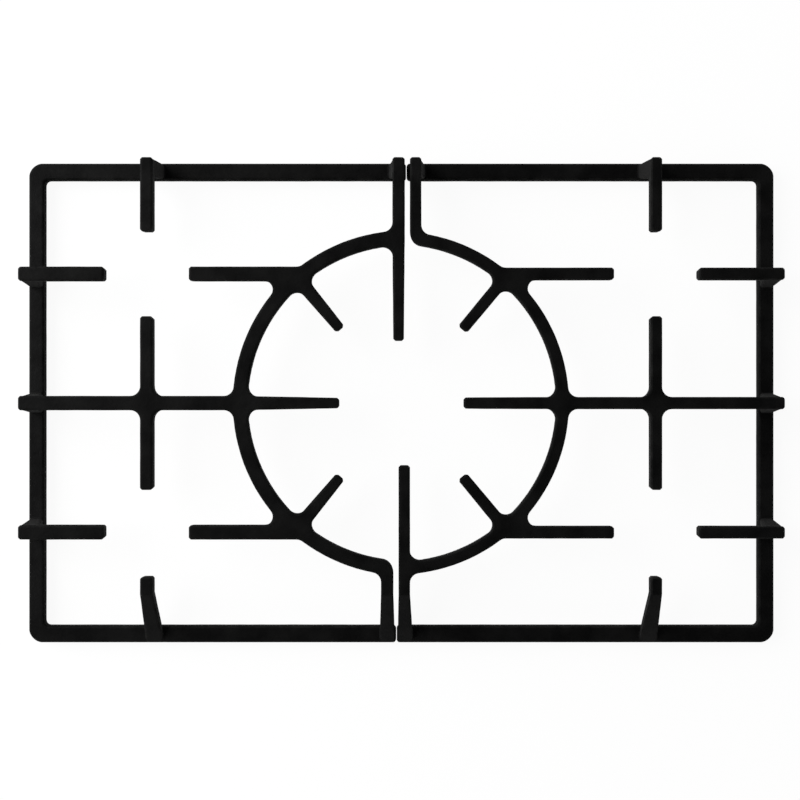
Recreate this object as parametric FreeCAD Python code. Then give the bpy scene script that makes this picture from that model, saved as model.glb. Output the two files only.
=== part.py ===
"""Pan support set of a five-burner gas hob: two iron castings on push-in rubber feet.

Millimetres. The origin is on the hob's surface under the middle of the wok burner, +X to the right,
+Y to the rear and +Z up. Each casting is laid out in outward coordinates, in which x grows from the
line between the castings towards that casting's own side of the hob.
"""
import FreeCAD, Part
import collections
import math
import os

# Rails: each casting's low U, which stands on the feet and carries every leg
SET_WIDTH = 650.0
SET_DEPTH = 418.0
RAIL_HEIGHT = 8.0
SIDE_RAIL_WIDTH = 12.8
CROSS_RAIL_WIDTH = 14.0
RAIL_OUTER_RADIUS = 12.5
RAIL_INNER_RADIUS = 4.5
RAIL_END_RADIUS = 3.0
RAIL_CHAMFER = 0.9
JOINT_OFFSET = 4.4
JOINT_GAP = 0.8

# Fingers: flat-topped bars, narrower below than above so that they leave the mould
PAN_HEIGHT = 41.0
FINGER_DEPTH = 11.0
FINGER_DRAFT = 0.6
FINGER_CHAMFER = 0.9
TIP_CHAMFER = 1.5
JUNCTION_RADIUS = 8.5
NOTCH_RADIUS = 7.5
SHARPEST_JUNCTION = 300.0
BEND_RADIUS = 11.0

# Burners: the four outer ones, and the wok burner at the origin with its ring
BURNER_X = 215.3
BURNER_Y = 109.2
BURNER_CLEARANCE = 36.0
FRONT_CLEARANCE = 37.8
RING_RADIUS = 139.6
RING_SHIFT = 3.3
WOK_CLEARANCE = 52.6
DIAGONAL_CLEARANCE = 81.0
DIAGONAL_TURN = 2.2
CENTRE_FINGER_X = 2.4
CENTRE_LEG_X = 12.0

# Bar widths: the left casting is the heavier of the two
LEFT_BEAM_WIDTH = 11.8
LEFT_CROSS_WIDTH = 10.4
LEFT_CENTRE_WIDTH = 10.2
LEFT_TIP_WIDTH = 8.6
RIGHT_BEAM_WIDTH = 10.0
RIGHT_CROSS_WIDTH = 9.2
RIGHT_CENTRE_WIDTH = 9.4
RIGHT_TIP_WIDTH = 9.3

# Legs: upright ones on the side and rear rails, sloping ones on the front rail
LEG_BASE_WIDTH = 16.4
LEG_INSET = 1.0
LEG_RECESS = 1.5
LEG_LEAN = 6.0
LEG_FILLET = 1.5
LEG_CHAMFER = 1.2
LEG_SINK = 0.3
SLOPE_SETBACK = 21.7
SLOPE_BASE_WIDTH = 15.0
CENTRE_BASE_WIDTH = 13.0
SLOPE_OVERRUN = 6.0

# Feet: a round head under the rail, and a stem pushed into a blind socket in it
FOOT_HEIGHT = 3.0
FOOT_DIAMETER = 9.0
STEM_DIAMETER = 4.0
STEM_LENGTH = 5.0
STEM_CLEARANCE = 0.1
OUTER_FOOT_INSET = 35.0
INNER_FOOT_X = 30.0

HALF_WIDTH = SET_WIDTH / 2
HALF_DEPTH = SET_DEPTH / 2
RAIL_TOP = FOOT_HEIGHT + RAIL_HEIGHT
FINGER_UNDERSIDE = PAN_HEIGHT - FINGER_DEPTH
SLOPE_START = RING_RADIUS + SLOPE_SETBACK
UP = FreeCAD.Vector(0, 0, 1)
FILLET = Part.Shape.makeFillet
CHAMFER = Part.Shape.makeChamfer
TOLERANCE = 1e-3
PROBE_STEP = 0.05
STRAIGHT = 3.0

# sign turns outward x into X; finger_end is +1 where the centre finger comes from the rear rail
Casting = collections.namedtuple("Casting", "name sign finger_end beam cross centre tip")
CASTINGS = (
    Casting("left", -1, 1, LEFT_BEAM_WIDTH, LEFT_CROSS_WIDTH, LEFT_CENTRE_WIDTH, LEFT_TIP_WIDTH),
    Casting("right", 1, -1, RIGHT_BEAM_WIDTH, RIGHT_CROSS_WIDTH, RIGHT_CENTRE_WIDTH, RIGHT_TIP_WIDTH),
)


def point(x, y, z=0.0):
    return FreeCAD.Vector(x, y, z)


def polygon(points):
    """A flat face on the given corners."""
    return Part.Face(Part.makePolygon([*points, points[0]]))


def bar(start, end, start_width, end_width, inset=0.0):
    """The plan of a straight bar, which may taper; the inset draws in its sides and its far end."""
    length = start.distanceToPoint(end)
    along = (end - start) / length
    across = UP.cross(along)
    slope = (end_width - start_width) / 2 / length
    near = across * (start_width / 2 - inset)
    far = across * (end_width / 2 - inset - slope * inset)
    last = end - along * inset
    return polygon([start - near, last - far, last + far, start + near])


def corner_angle(face, corner):
    """The angle of material, in degrees, at a corner of a flat face."""
    directions = []
    for edge in face.OuterWire.Edges:
        for parameter, sign in ((edge.FirstParameter, 1), (edge.LastParameter, -1)):
            if edge.valueAt(parameter).isEqual(corner, TOLERANCE):
                directions.append(edge.tangentAt(parameter) * sign)
    between = math.degrees(directions[0].getAngle(directions[1]))
    probe = corner + (directions[0] + directions[1]) * PROBE_STEP
    return between if face.isInside(probe, TOLERANCE, True) else 360 - between


def eased(face, cut_at):
    """The face with its corners eased: cut_at(corner, angle) gives each one's cut and its size."""
    block = face.extrude(UP)
    groups = collections.defaultdict(list)
    for vertex in face.OuterWire.OrderedVertexes:
        angle = corner_angle(face, vertex.Point)
        if abs(angle - 180) > STRAIGHT:
            groups[cut_at(vertex.Point, angle)].append(vertex.Point + UP / 2)
    for (cut, size), middles in groups.items():
        edges = [e for e in block.Edges if any(e.CenterOfMass.isEqual(m, TOLERANCE) for m in middles)]
        block = cut(block, size, edges)
    return min(block.Faces, key=lambda f: f.CenterOfMass.z)


def moulded(plan_at):
    """A finger on the plan that plan_at(inset) draws: drafted sides, and a broken upper edge."""
    upper = plan_at(0.0).OuterWire.translated(UP * PAN_HEIGHT)
    lower = plan_at(FINGER_DRAFT).OuterWire.translated(UP * FINGER_UNDERSIDE)
    solid = Part.makeLoft([lower, upper], True, True)
    edges = [e for e in solid.Edges if e.BoundBox.ZMin > PAN_HEIGHT - TOLERANCE]
    return solid.makeChamfer(FINGER_CHAMFER, edges).Solids[0]


def ring_bar(at, width, first_angle, last_angle):
    """The plan of a stretch of the wok ring between two angles about the ring's own centre."""
    def on_ring(radius, angle):
        turn = math.radians(angle)
        return at(radius * math.cos(turn) - RING_SHIFT, radius * math.sin(turn))

    middle_angle = (first_angle + last_angle) / 2
    inside = RING_RADIUS - width / 2
    outside = RING_RADIUS + width / 2
    outer = Part.Arc(*(on_ring(outside, a) for a in (first_angle, middle_angle, last_angle)))
    inner = Part.Arc(*(on_ring(inside, a) for a in (last_angle, middle_angle, first_angle)))
    last_end = Part.makeLine(on_ring(outside, last_angle), on_ring(inside, last_angle))
    first_end = Part.makeLine(on_ring(inside, first_angle), on_ring(outside, first_angle))
    return Part.Face(Part.Wire([outer.toShape(), last_end, inner.toShape(), first_end]))


def bar_end(y_sign):
    """How far a bar's plan runs towards the rear or front rail."""
    return HALF_DEPTH - LEG_RECESS if y_sign > 0 else -SLOPE_START - SLOPE_OVERRUN


def squared_front(finger):
    """A finger cut off square where its sloping leg takes over."""
    corner = point(-HALF_WIDTH, -SLOPE_START - HALF_DEPTH)
    beyond = Part.makeBox(SET_WIDTH, HALF_DEPTH, PAN_HEIGHT, corner)
    return finger.cut(beyond).Solids[0]


def web(casting):
    """The top level of a casting: beam, cross, half ring, wok fingers and centre bars, in one piece."""
    def at(x, y):
        return point(casting.sign * x, y)

    finger_end = casting.finger_end
    ring_x = RING_RADIUS - RING_SHIFT
    node_x = math.sqrt(RING_RADIUS ** 2 - BURNER_Y ** 2) - RING_SHIFT
    finger_turn = math.degrees(math.acos((CENTRE_FINGER_X + RING_SHIFT) / RING_RADIUS))
    diagonal_angle = math.atan2(BURNER_Y, node_x) - math.radians(DIAGONAL_TURN)
    bars = [
        (at(ring_x, 0), at(HALF_WIDTH - LEG_RECESS, 0), casting.beam, casting.beam),
        (at(ring_x, 0), at(WOK_CLEARANCE, 0), casting.beam, casting.tip),
        (at(CENTRE_FINGER_X, finger_end * RING_RADIUS), at(CENTRE_FINGER_X, bar_end(finger_end)),
         casting.centre, casting.centre),
        (at(CENTRE_FINGER_X, finger_end * RING_RADIUS), at(CENTRE_FINGER_X, finger_end * WOK_CLEARANCE),
         casting.centre, casting.tip),
        (at(CENTRE_LEG_X, -finger_end * RING_RADIUS), at(CENTRE_LEG_X, bar_end(-finger_end)),
         casting.centre, casting.centre),
    ]
    for y_sign in (1, -1):
        radial = at(math.cos(diagonal_angle), y_sign * math.sin(diagonal_angle))
        bars += [
            (radial * ring_x, radial * DIAGONAL_CLEARANCE, casting.beam, casting.tip),
            (at(node_x, y_sign * BURNER_Y), at(BURNER_X - BURNER_CLEARANCE, y_sign * BURNER_Y),
             casting.beam, casting.beam),
            (at(BURNER_X, 0), at(BURNER_X, y_sign * (BURNER_Y - BURNER_CLEARANCE)),
             casting.cross, casting.cross),
        ]

    def plan_at(inset):
        leg_side_x = CENTRE_LEG_X - casting.centre / 2 + inset
        ring_inside = RING_RADIUS - casting.beam / 2 + inset
        bend = at(leg_side_x, -finger_end * math.sqrt(ring_inside ** 2 - (leg_side_x + RING_SHIFT) ** 2))

        def cut_at(corner, angle):
            if corner.isEqual(bend, TOLERANCE):
                return FILLET, BEND_RADIUS - inset
            if angle < 180:
                return CHAMFER, TIP_CHAMFER
            return FILLET, inset + (NOTCH_RADIUS if angle > SHARPEST_JUNCTION else JUNCTION_RADIUS)

        ring = ring_bar(at, casting.beam - 2 * inset, finger_end * finger_turn, -finger_end * 90)
        beyond_leg = bar(at(leg_side_x - HALF_DEPTH, -finger_end * HALF_DEPTH),
                         at(leg_side_x, -finger_end * HALF_DEPTH), SET_DEPTH, SET_DEPTH)
        half_ring = ring.cut(beyond_leg).Faces[0]
        outline = half_ring.multiFuse([bar(*each, inset) for each in bars]).removeSplitter().Faces[0]
        return eased(outline, cut_at)

    return squared_front(moulded(plan_at))


def lone_finger(start, end, width):
    """A short finger that only its own leg carries."""
    along = (end - start).normalize()

    def plan_at(inset):
        plan = bar(start + along * inset, end, width, width, inset)
        return eased(plan, lambda corner, angle: (CHAMFER, TIP_CHAMFER))

    return moulded(plan_at)


def upright_leg(foot, turn, finger_width, rail_width, flared_hands=(1, -1)):
    """A leg from the rail up into a finger's outer end: it flares downwards, and its inner face leans in.

    foot is on the rail's outer side, and turn is the direction outwards from there, in degrees. The
    flared hands are the leg's left (1) and right (-1), seen from inside the casting.
    """
    top = PAN_HEIGHT - FINGER_CHAMFER - LEG_SINK
    bottom = RAIL_TOP - LEG_SINK
    inner = LEG_INSET - rail_width
    side = polygon([point(-LEG_INSET, -LEG_BASE_WIDTH, bottom),
                    point(-LEG_RECESS - FINGER_DRAFT, -LEG_BASE_WIDTH, top),
                    point(inner - LEG_LEAN, -LEG_BASE_WIDTH, top),
                    point(inner, -LEG_BASE_WIDTH, bottom)])
    section_x = inner - LEG_LEAN
    half_top = finger_width / 2 - FINGER_DRAFT
    half_base = LEG_BASE_WIDTH / 2
    fillet_z = bottom + LEG_FILLET
    reach = half_base + LEG_FILLET
    dip = LEG_FILLET * math.sqrt(0.5)
    edges = []
    base_ends = []
    for hand in (1, -1):
        shoulder = point(section_x, hand * half_top, top)
        if hand in flared_hands:
            base_end = point(section_x, hand * reach, bottom)
            hollow = point(section_x, hand * (reach - dip), fillet_z - dip)
            flare_end = point(section_x, hand * half_base, fillet_z)
            edges.append(Part.Arc(base_end, hollow, flare_end).toShape())
            edges.append(Part.makeLine(flare_end, shoulder))
        else:
            base_end = point(section_x, hand * half_top, bottom)
            edges.append(Part.makeLine(base_end, shoulder))
        base_ends.append(base_end)
    edges.append(Part.makeLine(*base_ends))
    edges.append(Part.makeLine(point(section_x, -half_top, top), point(section_x, half_top, top)))
    front = Part.Face(Part.Wire(Part.sortEdges(edges)[0]))
    leg = side.extrude(point(0, 2 * LEG_BASE_WIDTH)).common(front.extrude(point(-section_x, 0)))
    corners = [e for e in leg.Edges if e.BoundBox.ZLength > TOLERANCE]
    leg = leg.makeChamfer(LEG_CHAMFER, corners).Solids[0]
    leg.rotate(point(0, 0), UP, turn)
    return leg.translated(foot)


def sloping_leg(finger, x, finger_width, base_x, base_width):
    """A leg that carries the finger's own section on, down to the front rail's top."""
    section = min(finger.Faces, key=lambda f: f.CenterOfMass.y).OuterWire
    widen = base_width / finger_width
    outer_y = LEG_INSET - HALF_DEPTH
    spread = (CROSS_RAIL_WIDTH - 2 * LEG_INSET) / FINGER_DEPTH
    laid_down = FreeCAD.Matrix(
        widen, 0, 0, base_x - widen * x,
        0, 0, -spread, outer_y + spread * PAN_HEIGHT,
        0, 1, 0, RAIL_TOP - LEG_SINK + SLOPE_START,
        0, 0, 0, 1)
    return Part.makeLoft([section, section.transformGeometry(laid_down)], True, True)


def rail_end(casting, y_sign):
    """Where the rear or front rail stops short of the other casting's, in outward x."""
    return JOINT_GAP / 2 - y_sign * casting.finger_end * JOINT_OFFSET


def rail(casting):
    """The low U under a casting's side, rear and front."""
    rear_end = rail_end(casting, 1)
    front_end = rail_end(casting, -1)
    inner_x = HALF_WIDTH - SIDE_RAIL_WIDTH
    inner_y = HALF_DEPTH - CROSS_RAIL_WIDTH
    corners = [(rear_end, HALF_DEPTH), (HALF_WIDTH, HALF_DEPTH), (HALF_WIDTH, -HALF_DEPTH),
               (front_end, -HALF_DEPTH), (front_end, -inner_y), (inner_x, -inner_y),
               (inner_x, inner_y), (rear_end, inner_y)]

    def cut_at(corner, angle):
        if angle > 180:
            return FILLET, RAIL_INNER_RADIUS
        return FILLET, RAIL_OUTER_RADIUS if abs(corner.x) > inner_x else RAIL_END_RADIUS

    plan = eased(polygon([point(casting.sign * x, y) for x, y in corners]), cut_at)
    solid = plan.translated(UP * FOOT_HEIGHT).extrude(UP * RAIL_HEIGHT)
    edges = [e for e in solid.Edges if e.BoundBox.ZLength < TOLERANCE]
    return solid.makeChamfer(RAIL_CHAMFER, edges).Solids[0]


def foot_places(casting):
    """Each foot's name and the place under the rail where it is pushed in."""
    y = HALF_DEPTH - CROSS_RAIL_WIDTH / 2
    for end, y_sign in (("rear", 1), ("front", -1)):
        for place, x in (("outer", HALF_WIDTH - OUTER_FOOT_INSET), ("inner", INNER_FOOT_X)):
            yield f"{casting.name}_{end}_{place}_foot", point(casting.sign * x, y_sign * y)


def foot(place):
    """A rubber foot: a round head on a thinner stem."""
    head = Part.makeCylinder(FOOT_DIAMETER / 2, FOOT_HEIGHT)
    stem_root = point(0, 0, FOOT_HEIGHT / 2)
    stem = Part.makeCylinder(STEM_DIAMETER / 2, FOOT_HEIGHT / 2 + STEM_LENGTH, stem_root)
    return head.fuse(stem).removeSplitter().Solids[0].translated(place)


def pan_support(casting):
    """One casting: the rail, its legs and the fingers on them, with blind sockets for the feet."""
    sign = casting.sign

    def at(x, y):
        return point(sign * x, y)

    side_turn = 0 if sign > 0 else 180
    side_end = HALF_WIDTH - LEG_RECESS
    side_tip = BURNER_X + BURNER_CLEARANCE
    rear_tip = BURNER_Y + BURNER_CLEARANCE
    front_tip = BURNER_Y + FRONT_CLEARANCE
    centre_x = {1: CENTRE_FINGER_X, -1: CENTRE_LEG_X}
    rear_x = centre_x[casting.finger_end]
    front_x = centre_x[-casting.finger_end]
    front_base_x = rail_end(casting, -1) + LEG_INSET + CENTRE_BASE_WIDTH / 2

    top = web(casting)
    front_start = at(BURNER_X, bar_end(-1))
    front_finger = squared_front(lone_finger(front_start, at(BURNER_X, -front_tip), casting.cross))
    pieces = [top, front_finger,
              lone_finger(at(BURNER_X, bar_end(1)), at(BURNER_X, rear_tip), casting.cross),
              sloping_leg(top, sign * front_x, casting.centre, sign * front_base_x, CENTRE_BASE_WIDTH),
              sloping_leg(front_finger, sign * BURNER_X, casting.cross, sign * BURNER_X, SLOPE_BASE_WIDTH),
              upright_leg(at(BURNER_X, HALF_DEPTH), 90, casting.cross, CROSS_RAIL_WIDTH),
              upright_leg(at(rear_x, HALF_DEPTH), 90, casting.centre, CROSS_RAIL_WIDTH, (-sign,)),
              upright_leg(at(HALF_WIDTH, 0), side_turn, casting.beam, SIDE_RAIL_WIDTH)]
    for y in (BURNER_Y, -BURNER_Y):
        pieces.append(lone_finger(at(side_end, y), at(side_tip, y), casting.beam))
        pieces.append(upright_leg(at(HALF_WIDTH, y), side_turn, casting.beam, SIDE_RAIL_WIDTH))
    solid = rail(casting).multiFuse(pieces).removeSplitter()
    socket_radius = STEM_DIAMETER / 2 + STEM_CLEARANCE
    for name, place in foot_places(casting):
        socket = Part.makeCylinder(socket_radius, FOOT_HEIGHT + STEM_LENGTH + STEM_CLEARANCE, place)
        solid = solid.cut(socket)
    return solid.Solids[0]


os.makedirs("parts", exist_ok=True)
for casting in CASTINGS:
    pan_support(casting).exportStep(f"parts/{casting.name}_pan_support.step")
    for name, place in foot_places(casting):
        foot(place).exportStep(f"parts/{name}.step")
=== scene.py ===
"""Looks of a hob's pan support set: two enamelled iron castings on rubber feet, seen from above."""

import bmesh
import bpy
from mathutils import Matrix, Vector, noise


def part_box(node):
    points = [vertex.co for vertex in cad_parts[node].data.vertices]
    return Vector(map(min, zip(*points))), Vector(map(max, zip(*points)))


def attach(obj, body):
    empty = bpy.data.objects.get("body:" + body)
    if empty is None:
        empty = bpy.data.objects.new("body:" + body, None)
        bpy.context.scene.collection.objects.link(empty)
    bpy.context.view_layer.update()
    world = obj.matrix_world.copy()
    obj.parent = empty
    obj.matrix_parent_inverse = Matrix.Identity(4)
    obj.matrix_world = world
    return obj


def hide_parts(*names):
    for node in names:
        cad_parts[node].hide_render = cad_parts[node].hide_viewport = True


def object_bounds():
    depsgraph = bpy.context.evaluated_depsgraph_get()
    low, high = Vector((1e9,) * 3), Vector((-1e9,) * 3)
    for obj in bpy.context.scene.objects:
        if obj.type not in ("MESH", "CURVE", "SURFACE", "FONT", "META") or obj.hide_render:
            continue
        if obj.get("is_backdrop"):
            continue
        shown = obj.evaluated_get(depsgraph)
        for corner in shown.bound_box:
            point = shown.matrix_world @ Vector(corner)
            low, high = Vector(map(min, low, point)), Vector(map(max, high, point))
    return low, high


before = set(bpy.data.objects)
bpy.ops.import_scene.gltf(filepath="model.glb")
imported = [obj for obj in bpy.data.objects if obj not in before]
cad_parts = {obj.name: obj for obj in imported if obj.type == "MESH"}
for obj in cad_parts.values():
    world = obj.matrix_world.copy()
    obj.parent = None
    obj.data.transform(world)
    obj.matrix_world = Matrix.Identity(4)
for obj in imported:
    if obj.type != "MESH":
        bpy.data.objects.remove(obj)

scene = bpy.context.scene
cad_low, cad_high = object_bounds()


# Castings: the two halves of the set, each poured in grey iron in a sand mould, blasted clean and coated
# in matt black enamel. Rail, legs and fingers are one piece, and each half is lifted off the hob by hand.
# The sand and the coat leave no edge sharp and no face quite even.
SIDES = ("left", "right")
MERGE_DISTANCE = 1e-6
SKIN_CELL = 0.00114
NET_DEPTH = 9
EDGE_PASSES = 1
COAT = 0.00025
WAVE_DEPTH = 0.00008
WAVE_LENGTH = 0.011

# Colour: darker and lighter clouds on tops, painted light paling the flanks, edges greyest from wear and
# painted highlight
ENAMEL_DARK = (0.0032, 0.0032, 0.0032, 1.0)
ENAMEL_LIGHT = (0.009, 0.009, 0.0088, 1.0)
# Flank colour: painted light, paler than the enamel's own colour
ENAMEL_PAINTED_FLANK_LIGHT = (0.024, 0.024, 0.0235, 1.0)
# Edge colour: partly rubbed wear, partly a painted highlight on sharp edges
ENAMEL_WORN_EDGE_AND_HIGHLIGHT = (0.03, 0.03, 0.029, 1.0)
CLOUDS_PER_METRE = 45.0
CLOUD_RANGE = (0.35, 0.65)
PAINTED_FLANK_LIGHT_FACING = (0.1, 0.5)
PAINTED_FLANK_LIGHT_SHARE = 0.7
EDGE_WEAR_AND_HIGHLIGHT_PER_METRE = 90.0
EDGE_WEAR_AND_HIGHLIGHT_RANGE = (0.4, 0.65)
EDGE_WEAR_AND_HIGHLIGHT_SHARPNESS = (0.52, 0.6)

# Gloss and grain: tops wiped smoother than the sides, over a fine grain and a soft orange peel
ENAMEL_SPECULAR = 0.1
SIDE_ROUGHNESS = 0.95
TOP_ROUGHNESS = 0.56
TOP_FACING = (0.6, 0.95)
GRAINS_PER_METRE = 1500.0
GRAIN_RANGE = (0.3, 0.7)
GRAIN_DULLING = (-0.04, 0.12)
GRAIN_HEIGHT = 0.00008
PEEL_PER_METRE = 240.0
PEEL_HEIGHT = 0.0002


def add_node(tree, kind, **settings):
    """A new node with its settings made."""
    node = tree.nodes.new(kind)
    for name, value in settings.items():
        setattr(node, name, value)
    return node


def combined(tree, operation, first, second, **settings):
    """Two values put together by one operation; the second may be a plain number."""
    result = add_node(tree, "ShaderNodeMath", operation=operation, **settings)
    tree.links.new(first, result.inputs[0])
    if isinstance(second, float):
        result.inputs[1].default_value = second
    else:
        tree.links.new(second, result.inputs[1])
    return result.outputs["Value"]


def object_noise(tree, scale, detail=2.0, roughness=0.5):
    """A noise fixed to the piece, with the given number of waves in a metre; returns its value."""
    place = add_node(tree, "ShaderNodeTexCoord")
    texture = add_node(tree, "ShaderNodeTexNoise")
    texture.inputs["Scale"].default_value = scale
    texture.inputs["Detail"].default_value = detail
    texture.inputs["Roughness"].default_value = roughness
    tree.links.new(place.outputs["Object"], texture.inputs["Vector"])
    return texture.outputs["Fac"]


def spread(tree, value, low, high, to_low=0.0, to_high=1.0):
    """The value carried from one range over to another and held inside it."""
    ranged = add_node(tree, "ShaderNodeMapRange", clamp=True)
    tree.links.new(value, ranged.inputs["Value"])
    for name, number in (("From Min", low), ("From Max", high), ("To Min", to_low), ("To Max", to_high)):
        ranged.inputs[name].default_value = number
    return ranged.outputs["Result"]


def blend_colours(tree, amount, first, second):
    """A mix of two colours; the first may come from another node."""
    mixed = add_node(tree, "ShaderNodeMix", data_type="RGBA")
    tree.links.new(amount, mixed.inputs["Factor"])
    if isinstance(first, tuple):
        mixed.inputs["A"].default_value = first
    else:
        tree.links.new(first, mixed.inputs["A"])
    mixed.inputs["B"].default_value = second
    return mixed.outputs["Result"]


def bumped(tree, height, distance, below=None):
    """A surface raised by a height, over another one where that is given."""
    bump = add_node(tree, "ShaderNodeBump")
    bump.inputs["Strength"].default_value = 1.0
    bump.inputs["Distance"].default_value = distance
    tree.links.new(height, bump.inputs["Height"])
    if below is not None:
        tree.links.new(below, bump.inputs["Normal"])
    return bump.outputs["Normal"]


def matt_enamel():
    """Black enamel fired dull: cloudy, finely grained, wiped smoother on top, flanks paled by painted light,
    edges greyer by wear and painted highlight.
    """
    material = bpy.data.materials.new("matt_black_enamel")
    material.use_nodes = True
    tree = material.node_tree
    shader = tree.nodes["Principled BSDF"]
    facing = add_node(tree, "ShaderNodeSeparateXYZ")
    tree.links.new(add_node(tree, "ShaderNodeTexCoord").outputs["Normal"], facing.inputs["Vector"])
    upward = facing.outputs["Z"]
    sharpness = add_node(tree, "ShaderNodeNewGeometry").outputs["Pointiness"]

    clouds = spread(tree, object_noise(tree, CLOUDS_PER_METRE, detail=3.0), *CLOUD_RANGE)
    wiped = blend_colours(tree, clouds, ENAMEL_DARK, ENAMEL_LIGHT)
    # Painted light: faces turned sideways get a paler colour, standing in for the light they catch from the
    # white around them
    clouds_and_painted_flank_light = blend_colours(tree, spread(tree, upward, *PAINTED_FLANK_LIGHT_FACING, PAINTED_FLANK_LIGHT_SHARE, 0.0), wiped, ENAMEL_PAINTED_FLANK_LIGHT)
    # Sharp edges greyer in patches: partly rubbed wear, partly a painted edge highlight
    patches = spread(tree, object_noise(tree, EDGE_WEAR_AND_HIGHLIGHT_PER_METRE, detail=4.0), *EDGE_WEAR_AND_HIGHLIGHT_RANGE)
    worn_and_highlit_edges = combined(tree, "MULTIPLY", spread(tree, sharpness, *EDGE_WEAR_AND_HIGHLIGHT_SHARPNESS), patches)
    tree.links.new(blend_colours(tree, worn_and_highlit_edges, clouds_and_painted_flank_light, ENAMEL_WORN_EDGE_AND_HIGHLIGHT), shader.inputs["Base Color"])

    grain = object_noise(tree, GRAINS_PER_METRE, roughness=0.6)
    dullness = spread(tree, upward, *TOP_FACING, SIDE_ROUGHNESS, TOP_ROUGHNESS)
    mottling = spread(tree, grain, *GRAIN_RANGE, *GRAIN_DULLING)
    mottled = combined(tree, "ADD", dullness, mottling, use_clamp=True)
    tree.links.new(mottled, shader.inputs["Roughness"])
    shader.inputs["Specular IOR Level"].default_value = ENAMEL_SPECULAR

    peel = bumped(tree, object_noise(tree, PEEL_PER_METRE), PEEL_HEIGHT)
    tree.links.new(bumped(tree, grain, GRAIN_HEIGHT, peel), shader.inputs["Normal"])
    return material


def plain_mesh(piece):
    """Makes what a piece's modifiers give its own mesh."""
    finished = bpy.data.meshes.new_from_object(piece.evaluated_get(bpy.context.evaluated_depsgraph_get()))
    piece.modifiers.clear()
    piece.data = finished


def merged_copy(name, node):
    """A new piece on a copy of a solid's mesh, with its loose triangles joined."""
    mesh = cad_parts[node].data.copy()
    joined = bmesh.new()
    joined.from_mesh(mesh)
    bmesh.ops.remove_doubles(joined, verts=joined.verts, dist=MERGE_DISTANCE)
    joined.to_mesh(mesh)
    joined.free()
    piece = bpy.data.objects.new(name, mesh)
    scene.collection.objects.link(piece)
    return piece


def lay_net(casting, low, high):
    """Lays an even net of small cells over a casting and takes the sharpness off its edges."""
    net = casting.modifiers.new("even net", "REMESH")
    net.mode = "SHARP"
    net.octree_depth = NET_DEPTH
    net.scale = max(high - low) / (SKIN_CELL * 2 ** NET_DEPTH)
    net.use_remove_disconnected = False
    softened = casting.modifiers.new("softened edges", "SMOOTH")
    softened.iterations = EDGE_PASSES
    plain_mesh(casting)


def coat_net(casting, low, high):
    """Collapses the net's pinched edges and raises it by a wavy coat, held inside the solid's own box."""
    skin = bmesh.new()
    skin.from_mesh(casting.data)
    bmesh.ops.collapse(skin, edges=[edge for edge in skin.edges if len(edge.link_faces) > 2])
    skin.normal_update()
    for vertex in skin.verts:
        wave = noise.noise(vertex.co / WAVE_LENGTH)
        coated = vertex.co + vertex.normal * (COAT + WAVE_DEPTH * wave)
        vertex.co = [min(max(place, least), most) for place, least, most in zip(coated, low, high)]
    skin.to_mesh(casting.data)
    skin.free()
    casting.data.shade_smooth()


enamel = matt_enamel()
for side in SIDES:
    node = f"{side}_pan_support"
    low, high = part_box(node)
    casting = merged_copy(f"{side}_casting", node)
    lay_net(casting, low, high)
    coat_net(casting, low, high)
    casting.data.materials.clear()
    casting.data.materials.append(enamel)
    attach(casting, f"{side}_support")
    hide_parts(node)


# Feet: four soft rubber buttons under each casting, which keep the iron off the hob's surface. Each is
# moulded in one piece with its stem, and the stem is pushed into a blind hole in the rail.
FOOT_PLACES = ("rear_outer", "rear_inner", "front_outer", "front_inner")
STEM_DIAMETER = 0.004
HEAD_HEIGHT = 0.003
FOOT_SEGMENTS = 40

# Profiles from the floor up: shares of the head's or the stem's height, and of its diameter
HEAD_PROFILE = ((0.0, 0.8), (0.03, 0.88), (0.12, 0.95), (0.26, 0.99),
                (0.4, 1.0), (0.72, 1.0), (0.88, 0.97), (0.97, 0.9))
STEM_PROFILE = ((0.0, 1.0), (0.85, 1.0), (0.96, 0.92), (1.0, 0.8))

# Rubber: dull and black, a little paler and duller where dust sticks to it
RUBBER_DARK = (0.012, 0.012, 0.012, 1.0)
RUBBER_LIGHT = (0.022, 0.022, 0.021, 1.0)
RUBBER_SPECULAR = 0.3
RUBBER_ROUGHNESS = (0.7, 0.85)
DUST_PER_METRE = 400.0
DUST_RANGE = (0.4, 0.7)
RUBBER_GRAINS_PER_METRE = 2500.0
RUBBER_GRAIN_HEIGHT = 0.00005


def foot_rubber():
    """Dull black rubber with a fine moulded grain and a little dust."""
    material = bpy.data.materials.new("foot_rubber")
    material.use_nodes = True
    tree = material.node_tree
    shader = tree.nodes["Principled BSDF"]
    dust = spread(tree, object_noise(tree, DUST_PER_METRE, detail=3.0), *DUST_RANGE)
    grain = object_noise(tree, RUBBER_GRAINS_PER_METRE)
    tree.links.new(blend_colours(tree, dust, RUBBER_DARK, RUBBER_LIGHT), shader.inputs["Base Color"])
    tree.links.new(spread(tree, dust, 0.0, 1.0, *RUBBER_ROUGHNESS), shader.inputs["Roughness"])
    tree.links.new(bumped(tree, grain, RUBBER_GRAIN_HEIGHT), shader.inputs["Normal"])
    shader.inputs["Specular IOR Level"].default_value = RUBBER_SPECULAR
    return material


def value_by_point(tree, values):
    """The value that belongs to each point of a curve, in order along it."""
    chosen = add_node(tree, "GeometryNodeIndexSwitch", data_type="FLOAT")
    while len(chosen.index_switch_items) < len(values):
        chosen.index_switch_items.new()
    index = add_node(tree, "GeometryNodeInputIndex")
    tree.links.new(index.outputs["Index"], chosen.inputs["Index"])
    for number, value in enumerate(values):
        tree.links.new(value, chosen.inputs[str(number)])
    return chosen.outputs["Output"]


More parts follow.
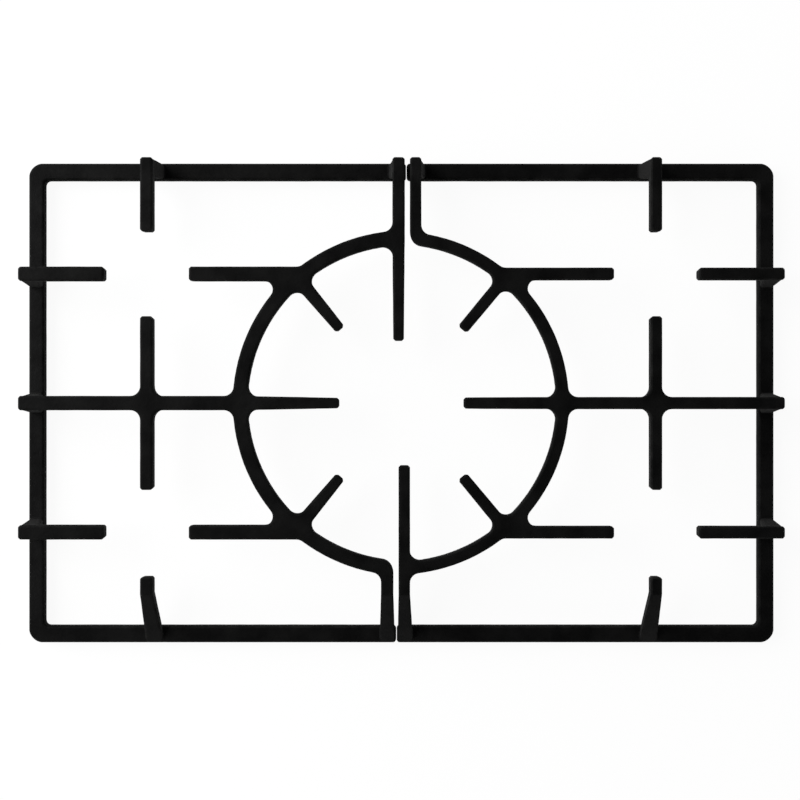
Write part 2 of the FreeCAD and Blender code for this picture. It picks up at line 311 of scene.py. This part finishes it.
def turned_foot(tree, given):
    """One foot, turned about its upright axis: its head's profile and then its stem's."""
    heights = [combined(tree, "MULTIPLY", given["Head Height"], height) for height, width in HEAD_PROFILE]
    for height, width in STEM_PROFILE:
        above_head = combined(tree, "MULTIPLY", given["Stem Length"], height)
        heights.append(combined(tree, "ADD", given["Head Height"], above_head))
    radii = [combined(tree, "MULTIPLY", given["Head Diameter"], width / 2) for height, width in HEAD_PROFILE]
    radii += [combined(tree, "MULTIPLY", given["Stem Diameter"], width / 2) for height, width in STEM_PROFILE]
    line = add_node(tree, "GeometryNodeCurvePrimitiveLine")
    axis = add_node(tree, "GeometryNodeResampleCurve")
    axis.inputs["Count"].default_value = len(heights)
    upright = add_node(tree, "ShaderNodeCombineXYZ")
    spaced = add_node(tree, "GeometryNodeSetPosition")
    circle = add_node(tree, "GeometryNodeCurvePrimitiveCircle")
    circle.inputs["Resolution"].default_value = FOOT_SEGMENTS
    circle.inputs["Radius"].default_value = 1.0
    turned = add_node(tree, "GeometryNodeCurveToMesh")
    turned.inputs["Fill Caps"].default_value = True
    tree.links.new(line.outputs["Curve"], axis.inputs["Curve"])
    tree.links.new(axis.outputs["Curve"], spaced.inputs["Geometry"])
    tree.links.new(value_by_point(tree, heights), upright.inputs["Z"])
    tree.links.new(upright.outputs["Vector"], spaced.inputs["Position"])
    tree.links.new(spaced.outputs["Geometry"], turned.inputs["Curve"])
    tree.links.new(value_by_point(tree, radii), turned.inputs["Scale"])
    tree.links.new(circle.outputs["Curve"], turned.inputs["Profile Curve"])
    return turned.outputs["Mesh"]


def foot_tree(material):
    """Nodes that set a soft-rimmed button with its stem on every point."""
    tree = bpy.data.node_groups.new("push_in_feet", "GeometryNodeTree")
    sockets = tree.interface
    sockets.new_socket("Places", in_out="INPUT", socket_type="NodeSocketGeometry")
    for name in ("Head Diameter", "Head Height", "Stem Diameter", "Stem Length"):
        sockets.new_socket(name, in_out="INPUT", socket_type="NodeSocketFloat")
    sockets.new_socket("Feet", in_out="OUTPUT", socket_type="NodeSocketGeometry")
    given = add_node(tree, "NodeGroupInput").outputs
    result = add_node(tree, "NodeGroupOutput")
    set_out = add_node(tree, "GeometryNodeInstanceOnPoints")
    real = add_node(tree, "GeometryNodeRealizeInstances")
    smooth = add_node(tree, "GeometryNodeSetShadeSmooth")
    finished = add_node(tree, "GeometryNodeSetMaterial")
    finished.inputs["Material"].default_value = material
    tree.links.new(given["Places"], set_out.inputs["Points"])
    tree.links.new(turned_foot(tree, given), set_out.inputs["Instance"])
    tree.links.new(set_out.outputs["Instances"], real.inputs["Geometry"])
    tree.links.new(real.outputs["Geometry"], smooth.inputs["Geometry"])
    tree.links.new(smooth.outputs["Geometry"], finished.inputs["Geometry"])
    tree.links.new(finished.outputs["Geometry"], result.inputs["Feet"])
    return tree


feet_nodes = foot_tree(foot_rubber())
for side in SIDES:
    nodes = [f"{side}_{place}_foot" for place in FOOT_PLACES]
    boxes = [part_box(node) for node in nodes]
    low, high = boxes[0]
    places = [((a.x + b.x) / 2, (a.y + b.y) / 2, a.z) for a, b in boxes]
    mesh = bpy.data.meshes.new(f"{side}_feet")
    mesh.from_pydata(places, [], [])
    feet = bpy.data.objects.new(f"{side}_feet", mesh)
    scene.collection.objects.link(feet)
    pushed_in = feet.modifiers.new("push-in feet", "NODES")
    pushed_in.node_group = feet_nodes
    sizes = {
        "Head Diameter": high.x - low.x,
        "Head Height": HEAD_HEIGHT,
        "Stem Diameter": STEM_DIAMETER,
        "Stem Length": high.z - low.z - HEAD_HEIGHT,
    }
    for socket in feet_nodes.interface.items_tree:
        if socket.name in sizes:
            pushed_in[socket.identifier] = sizes[socket.name]
    plain_mesh(feet)
    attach(feet, f"{side}_support")
    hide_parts(*nodes)


# Floor: a plain white sweep that the set lies on. It is white to the eye and in reflections, keeps the
# set's soft shadow, brightens to pure white farther away, and throws ordinary light back at the
# undersides.
FLOOR_SIZE = 12.0
FLOOR_CORNERS = ((-1, -1), (1, -1), (1, 1), (-1, 1))
FLOOR_WHITE = (0.8, 0.8, 0.8, 1.0)
FLOOR_SHADED = (0.14, 0.14, 0.14, 1.0)
FLOOR_GLOW = 0.935
FAR_GLOW = 1.0
NEAR_FLOOR = 0.6
FAR_FLOOR = 1.8


def seen_rays(tree):
    """One for a ray from the camera, a reflection or a see-through surface, otherwise nothing."""
    path = add_node(tree, "ShaderNodeLightPath").outputs
    mirrored = combined(tree, "MAXIMUM", path["Is Camera Ray"], path["Is Glossy Ray"])
    return combined(tree, "MAXIMUM", mirrored, path["Is Transmission Ray"])


def white_floor():
    """A glow with a weak shadow for rays that see the floor, and plain white for the light it throws back."""
    material = bpy.data.materials.new("white_floor")
    material.use_nodes = True
    tree = material.node_tree
    tree.nodes.remove(tree.nodes["Principled BSDF"])
    lighting = add_node(tree, "ShaderNodeBsdfDiffuse")
    lighting.inputs["Color"].default_value = FLOOR_WHITE
    shaded = add_node(tree, "ShaderNodeBsdfDiffuse")
    shaded.inputs["Color"].default_value = FLOOR_SHADED
    place = add_node(tree, "ShaderNodeTexCoord")
    away = add_node(tree, "ShaderNodeVectorMath", operation="LENGTH")
    tree.links.new(place.outputs["Object"], away.inputs[0])
    glow = add_node(tree, "ShaderNodeEmission")
    level = spread(tree, away.outputs["Value"], NEAR_FLOOR, FAR_FLOOR, FLOOR_GLOW, FAR_GLOW)
    tree.links.new(level, glow.inputs["Strength"])
    seen = add_node(tree, "ShaderNodeAddShader")
    tree.links.new(shaded.outputs["BSDF"], seen.inputs[0])
    tree.links.new(glow.outputs["Emission"], seen.inputs[1])
    mixed = add_node(tree, "ShaderNodeMixShader")
    tree.links.new(seen_rays(tree), mixed.inputs["Fac"])
    tree.links.new(lighting.outputs["BSDF"], mixed.inputs[1])
    tree.links.new(seen.outputs["Shader"], mixed.inputs[2])
    tree.links.new(mixed.outputs["Shader"], tree.nodes["Material Output"].inputs["Surface"])
    return material


floor_mesh = bpy.data.meshes.new("floor")
floor_places = [(x * FLOOR_SIZE / 2, y * FLOOR_SIZE / 2, cad_low.z) for x, y in FLOOR_CORNERS]
floor_mesh.from_pydata(floor_places, [], [(0, 1, 2, 3)])
floor_mesh.materials.append(white_floor())
floor = bpy.data.objects.new("floor", floor_mesh)
scene.collection.objects.link(floor)
floor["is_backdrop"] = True


# Light: one soft window of light on the left and a little to the rear, in a room with white walls and a
# dim ceiling, so that the flat tops stay dark and the sides of the bars catch the white around them.
KEY_PLACE = (-1.5, 0.55, 1.0)
KEY_SIZE = 1.8
KEY_POWER = 25.0
ROOM_WHITE = (1.0, 1.0, 1.0, 1.0)
WALL_TOP = 0.3
WALL_LEVEL = 1.0
CEILING_EDGE = 0.55
CEILING_LEVEL = 0.01


def light_room():
    """White walls up to one height of sight, fading to a dim ceiling at another."""
    world = bpy.data.worlds.new("room")
    scene.world = world
    world.use_nodes = True
    tree = world.node_tree
    room = tree.nodes["Background"]
    room.inputs["Color"].default_value = ROOM_WHITE
    place = add_node(tree, "ShaderNodeTexCoord")
    split = add_node(tree, "ShaderNodeSeparateXYZ")
    tree.links.new(place.outputs["Generated"], split.inputs["Vector"])
    level = spread(tree, split.outputs["Z"], WALL_TOP, CEILING_EDGE, WALL_LEVEL, CEILING_LEVEL)
    tree.links.new(level, room.inputs["Strength"])


def add_softbox():
    """A round soft lamp that faces the middle of the set."""
    lamp = bpy.data.lights.new("softbox", "AREA")
    lamp.shape = "DISK"
    lamp.size = KEY_SIZE
    lamp.energy = KEY_POWER
    softbox = bpy.data.objects.new("softbox", lamp)
    scene.collection.objects.link(softbox)
    softbox.location = KEY_PLACE
    softbox.rotation_euler = (-Vector(KEY_PLACE)).to_track_quat("-Z", "Y").to_euler()


light_room()
add_softbox()


# Camera: straight above the set and about 90 cm from the hob's surface, as in the photograph. It has no
# shift, so that the set stays in the middle of every other view.
LENS = 45.74
CAMERA_PLACE = (-0.0012, 0.0026, 0.898)
camera_data = bpy.data.cameras.new("camera")
camera_data.lens = LENS
camera = bpy.data.objects.new("camera", camera_data)
camera.location = CAMERA_PLACE
scene.collection.objects.link(camera)
scene.camera = camera
scene.view_settings.view_transform = "Standard"

low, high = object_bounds()
